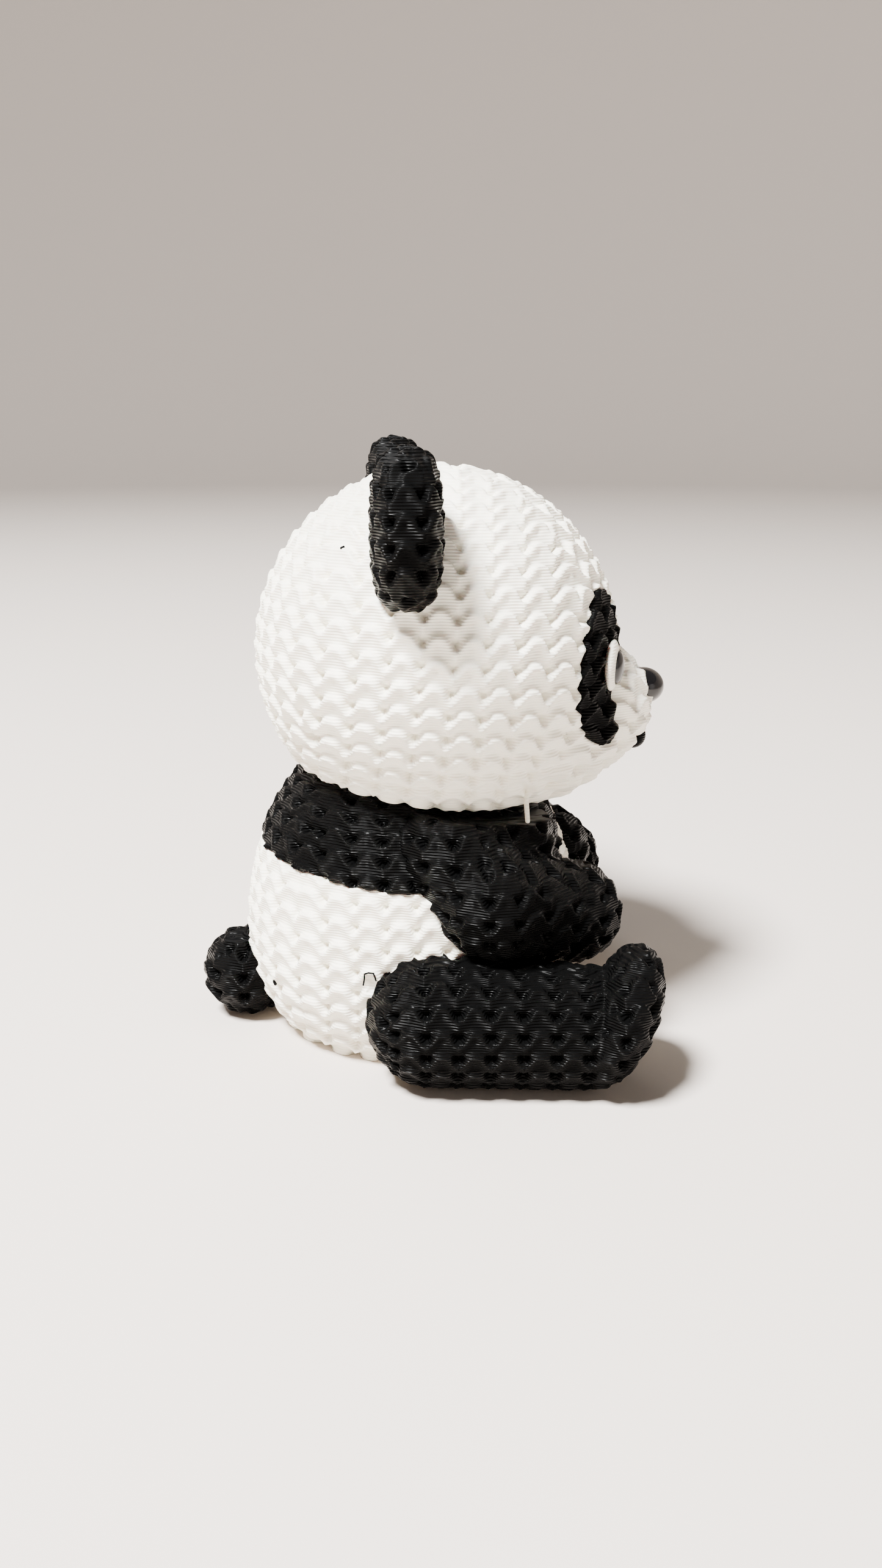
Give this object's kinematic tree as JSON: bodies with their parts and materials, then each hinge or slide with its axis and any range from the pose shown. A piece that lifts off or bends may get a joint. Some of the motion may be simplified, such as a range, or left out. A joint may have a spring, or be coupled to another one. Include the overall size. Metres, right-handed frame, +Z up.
{
  "type": "toy panda figurine",
  "caption": "Small seated toy panda in black and white printed plastic with a knitted texture; round ears, ball tail, and a big round head that turns on a neck pin.",
  "frame": {"origin": "middle of the flat base of the torso, on the ground", "axes": "+Z up; the panda faces -Y; its own left side is +X"},
  "size_m": [0.038, 0.0359, 0.0443],
  "materials": {
    "white_print": "satin white printed plastic with fine layer lines",
    "black_print": "satin black printed plastic with fine layer lines",
    "gloss_black": "polished black plastic"
  },
  "bodies": {
    "torso_body": {"lower_torso": "white_print", "shoulder_yoke": "black_print", "neck_pin": "black_print", "tail": "black_print", "arm_left": "black_print", "arm_right": "black_print", "leg_left": "black_print", "leg_right": "black_print"},
    "head_body": {"head": "white_print", "nose": "gloss_black", "mouth": "black_print", "ear_left": "black_print", "ear_right": "black_print", "eye_patch_left": "black_print", "eye_patch_right": "black_print", "eye_white_left": "white_print", "eye_white_right": "white_print", "pupil_left": "gloss_black", "pupil_right": "gloss_black"}
  },
  "joints": [
    {"name": "head_turn", "type": "hinge", "parent": "torso_body", "child": "head_body", "pos_m": [0, -0.00103, 0.01935], "axis": [0, -0.1444, 0.9895], "continuous": true}
  ]
}
